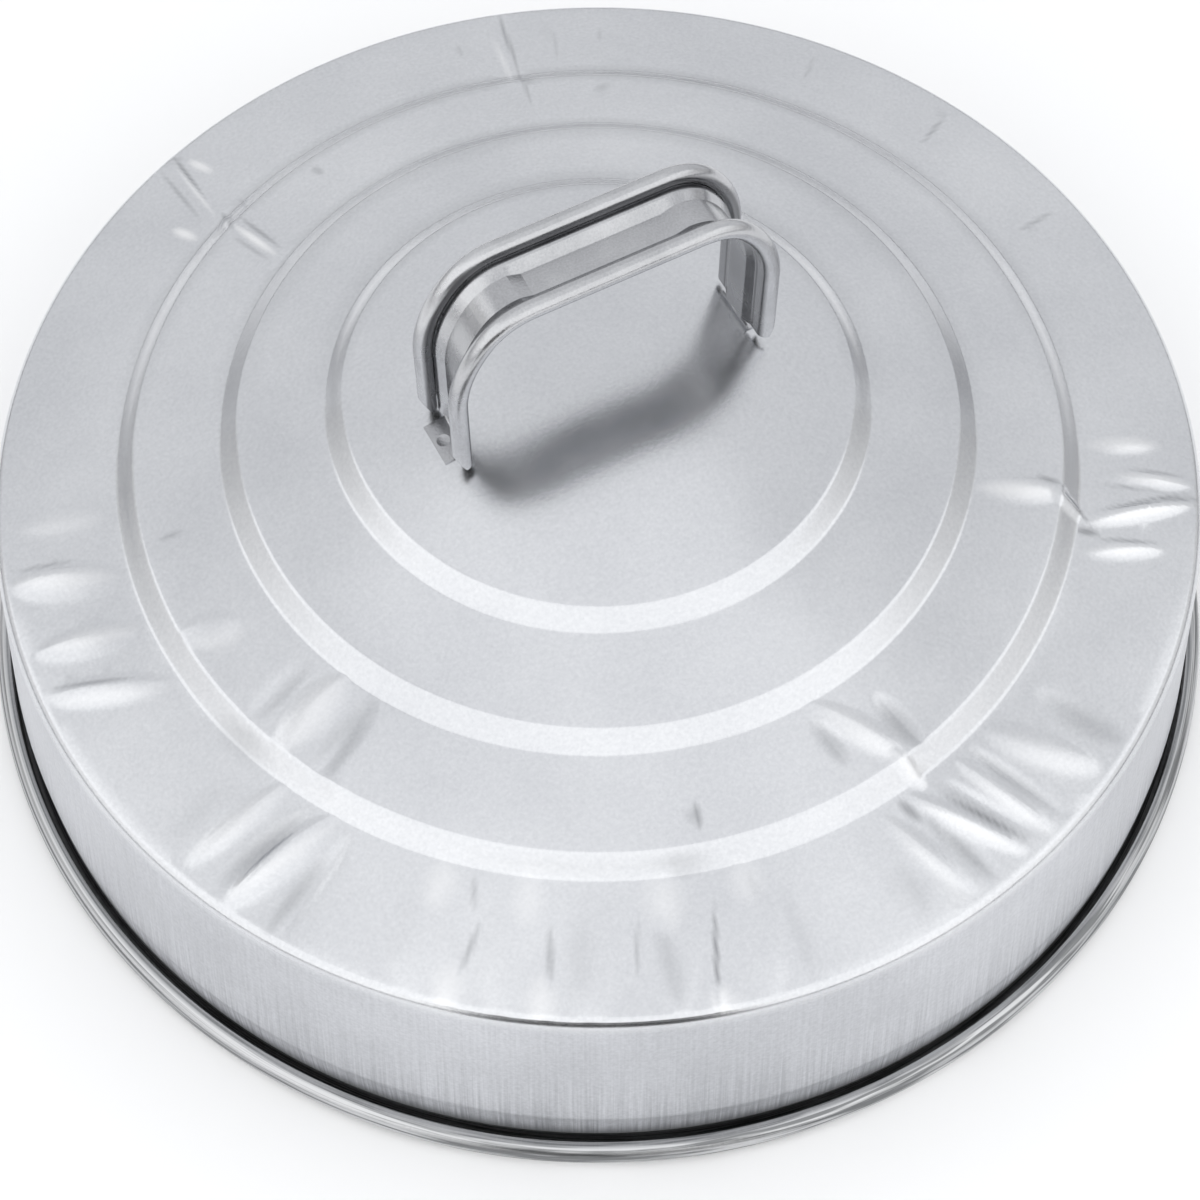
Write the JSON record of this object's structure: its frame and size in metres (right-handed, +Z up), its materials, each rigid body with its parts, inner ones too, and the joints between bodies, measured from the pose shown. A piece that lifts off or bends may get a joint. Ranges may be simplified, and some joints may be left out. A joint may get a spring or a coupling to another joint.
{
  "type": "galvanized can lid",
  "caption": "Round lid for a galvanized steel can: stepped conical crown, upright skirt with a rolled rim, and a strap handle with rolled edges for lifting.",
  "frame": {"origin": "on the lid's axis, at the lowest point of the rolled rim, where the lid stands on a flat surface", "axes": "+Z up along the lid's axis through the handle's middle, X along the handle's grip"},
  "size_m": [0.4738, 0.4738, 0.2222],
  "materials": {
    "galvanized_shell": "satin galvanized sheet, fine drawn lines on the skirt",
    "galvanized_handle": "satin galvanized strap, brighter on the rolled edges"
  },
  "bodies": {
    "root": {"lid_shell": "galvanized_shell", "strap_handle": "galvanized_handle"}
  },
  "joints": []
}
